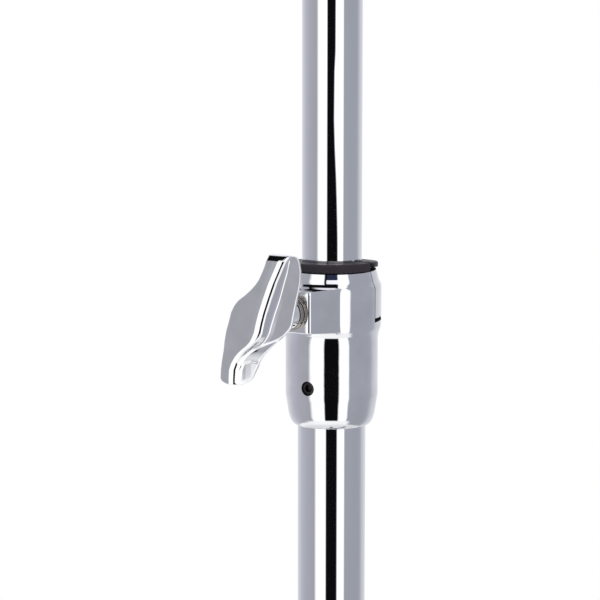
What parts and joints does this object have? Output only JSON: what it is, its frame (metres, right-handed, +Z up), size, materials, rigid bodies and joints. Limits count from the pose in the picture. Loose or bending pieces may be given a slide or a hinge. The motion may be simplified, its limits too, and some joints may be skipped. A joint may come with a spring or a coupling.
{
  "type": "hi-hat stand",
  "caption": "Chromed hi-hat stand with a height clamp and wing screw, a folding tripod, a chain-driven footboard, a tilting cymbal seat and a clutch",
  "frame": {"origin": "on the tube axis at floor level, in the middle of the base pad", "axes": "+Z up along the tube, -Y towards the heel of the footboard, -X towards the wing screw of the height clamp"},
  "size_m": [0.5694, 0.6622, 1.1111],
  "materials": {
    "chrome": "polished chrome plating",
    "nickel": "dull nickel plating",
    "cast_alloy": "fine-grained casting, lightly polished",
    "dark_steel": "black oxide",
    "black_nylon": "moulded, satin",
    "black_rubber": "matt",
    "grey_felt": "pressed wool felt"
  },
  "bodies": {
    "base": {"base_casting": "cast_alloy", "base_pad": "black_rubber", "heel_plate": "cast_alloy", "heel_pad": "black_rubber", "heel_pin": "dark_steel", "radius_rod_left": "chrome", "radius_rod_right": "chrome", "stop_bumper": "black_nylon", "return_spring": "dark_steel", "lower_tube": "chrome", "height_collar": "chrome", "height_bushing": "black_nylon", "collar_set_screw": "dark_steel", "pressure_pad": "black_nylon", "wing_washer": "nickel", "wing_spacer": "nickel"},
    "height_wing": {"height_wing_screw": "chrome"},
    "post": {"upper_tube": "chrome", "tube_glide": "black_nylon", "seat_base": "chrome", "tilt_pin": "dark_steel"},
    "tilt_knob": {"tilt_knob": "chrome"},
    "tilt_screw": {"tilt_screw": "dark_steel"},
    "cymbal_seat": {"seat_plate": "chrome", "seat_cup": "black_nylon", "seat_felt": "grey_felt"},
    "footboard": {"footboard": "cast_alloy", "toe_bracket": "nickel"},
    "pull_rod": {"rod_clevis": "nickel", "rod_collar": "nickel", "lower_rod": "chrome", "rod_coupling": "nickel", "upper_rod": "chrome"},
    "chain": {"chain_link_1": "nickel", "chain_link_2": "nickel", "chain_link_3": "nickel"},
    "tension_knob": {"tension_knob": "black_nylon"},
    "spring_seat": {"spring_seat": "black_nylon"},
    "clutch": {"clutch_body": "chrome", "clutch_top_nut": "chrome", "felt_upper": "grey_felt", "felt_lower": "grey_felt"},
    "clutch_nut": {"clutch_bottom_nut": "chrome"},
    "clutch_wing": {"clutch_wing_screw": "chrome"},
    "tripod_glide": {"tripod_glide": "black_nylon"},
    "lower_collar": {"lower_collar": "chrome"},
    "upper_collar": {"upper_collar": "chrome", "upper_bushing": "black_nylon"},
    "tripod_wing": {"tripod_wing_screw": "chrome"},
    "brace_1": {"brace_1": "chrome"},
    "leg_1": {"leg_1": "chrome", "foot_1": "black_rubber"},
    "brace_2": {"brace_2": "chrome"},
    "leg_2": {"leg_2": "chrome", "foot_2": "black_rubber"},
    "brace_3": {"brace_3": "chrome"},
    "leg_3": {"leg_3": "chrome", "foot_3": "black_rubber"}
  },
  "joints": [
    {"name": "post_slide", "type": "slide", "parent": "base", "child": "post", "axis": [0, 0, 1], "range_m": [-0.19, 0.04]},
    {"name": "height_wing_turn", "type": "hinge", "parent": "base", "child": "height_wing", "pos_m": [0, 0, 0.59915], "axis": [-1, 0, 0], "range_deg": [0, 540]},
    {"name": "tilt_knob_turn", "type": "hinge", "parent": "post", "child": "tilt_knob", "pos_m": [0.026, 0, 0.836], "axis": [0, 0, 1], "range_deg": [0, 2160]},
    {"name": "tilt_screw_rise", "type": "slide", "parent": "post", "child": "tilt_screw", "axis": [0, 0, 1], "range_m": [0, 0.005]},
    {"name": "seat_tilt", "type": "hinge", "parent": "post", "child": "cymbal_seat", "pos_m": [-0.0235, 0, 0.8496], "axis": [0, -1, 0], "range_deg": [0, 6]},
    {"name": "footboard_press", "type": "hinge", "parent": "base", "child": "footboard", "pos_m": [0, -0.258, 0.02], "axis": [-1, 0, 0], "range_deg": [0, 6.6]},
    {"name": "rod_slide", "type": "slide", "parent": "base", "child": "pull_rod", "axis": [0, 0, -1], "range_m": [0, 0.03], "stiffness_N_per_m": 1500, "springref_m": -0.012, "deforming": ["return_spring"]},
    {"name": "chain_swing", "type": "hinge", "parent": "pull_rod", "child": "chain", "pos_m": [0, 0, 0.113], "axis": [1, 0, 0], "range_deg": [0, 7]},
    {"name": "tension_turn", "type": "hinge", "parent": "base", "child": "tension_knob", "pos_m": [0, 0, 0.146], "axis": [0, 0, 1], "range_deg": [0, 2160]},
    {"name": "spring_seat_rise", "type": "slide", "parent": "base", "child": "spring_seat", "axis": [0, 0, 1], "range_m": [0, 0.006]},
    {"name": "clutch_slide", "type": "slide", "parent": "pull_rod", "child": "clutch", "axis": [0, 0, 1], "range_m": [-0.02, 0.06]},
    {"name": "clutch_nut_turn", "type": "hinge", "parent": "clutch", "child": "clutch_nut", "pos_m": [0, 0, 0.979], "axis": [0, 0, 1], "range_deg": [0, 1080]},
    {"name": "clutch_wing_turn", "type": "hinge", "parent": "clutch", "child": "clutch_wing", "pos_m": [0, 0, 1.03305], "axis": [0, 1, 0], "range_deg": [0, 540]},
    {"name": "tripod_slide", "type": "slide", "parent": "base", "child": "tripod_glide", "axis": [0, 0, 1], "range_m": [0, 0.06]},
    {"name": "tripod_swivel", "type": "hinge", "parent": "tripod_glide", "child": "lower_collar", "pos_m": [0, 0, 0.2656], "axis": [0, 0, 1], "range_deg": [-20, 20]},
    {"name": "brace_1_fold", "type": "hinge", "parent": "lower_collar", "child": "brace_1", "pos_m": [0, 0.026, 0.2656], "axis": [1, 0, 0], "range_deg": [0, 28]},
    {"name": "leg_1_fold", "type": "hinge", "parent": "brace_1", "child": "leg_1", "pos_m": [0, 0.07726, 0.3416], "axis": [-1, 0, 0], "range_deg": [0, 56]},
    {"name": "brace_2_fold", "type": "hinge", "parent": "lower_collar", "child": "brace_2", "pos_m": [-0.02252, -0.013, 0.2656], "axis": [-0.5, 0.866, 0], "range_deg": [0, 28]},
    {"name": "leg_2_fold", "type": "hinge", "parent": "brace_2", "child": "leg_2", "pos_m": [-0.06691, -0.03863, 0.3416], "axis": [0.5, -0.866, 0], "range_deg": [0, 56]},
    {"name": "brace_3_fold", "type": "hinge", "parent": "lower_collar", "child": "brace_3", "pos_m": [0.02252, -0.013, 0.2656], "axis": [-0.5, -0.866, 0], "range_deg": [0, 28]},
    {"name": "leg_3_fold", "type": "hinge", "parent": "brace_3", "child": "leg_3", "pos_m": [0.06691, -0.03863, 0.3416], "axis": [0.5, 0.866, 0], "range_deg": [0, 56]},
    {"name": "upper_collar_fold", "type": "hinge", "parent": "leg_1", "child": "upper_collar", "pos_m": [0, 0.026, 0.4176], "axis": [1, 0, 0], "range_deg": [0, 28]},
    {"name": "tripod_wing_turn", "type": "hinge", "parent": "upper_collar", "child": "tripod_wing", "pos_m": [0, 0, 0.4306], "axis": [0, -1, 0], "range_deg": [0, 540]}
  ],
  "couplings": [
    {"joint": "tilt_screw_rise", "follows": "tilt_knob_turn", "m_per_rad": 0.00013263},
    {"joint": "seat_tilt", "follows": "tilt_knob_turn", "ratio": 0.0027778},
    {"joint": "rod_slide", "follows": "footboard_press", "m_per_rad": 0.2581},
    {"joint": "chain_swing", "follows": "footboard_press", "ratio": 1.0455},
    {"joint": "spring_seat_rise", "follows": "tension_turn", "m_per_rad": 0.00015915},
    {"joint": "brace_2_fold", "follows": "brace_1_fold", "ratio": 1},
    {"joint": "brace_3_fold", "follows": "brace_1_fold", "ratio": 1},
    {"joint": "leg_1_fold", "follows": "brace_1_fold", "ratio": 2},
    {"joint": "leg_2_fold", "follows": "brace_1_fold", "ratio": 2},
    {"joint": "leg_3_fold", "follows": "brace_1_fold", "ratio": 2},
    {"joint": "upper_collar_fold", "follows": "brace_1_fold", "ratio": 1}
  ]
}
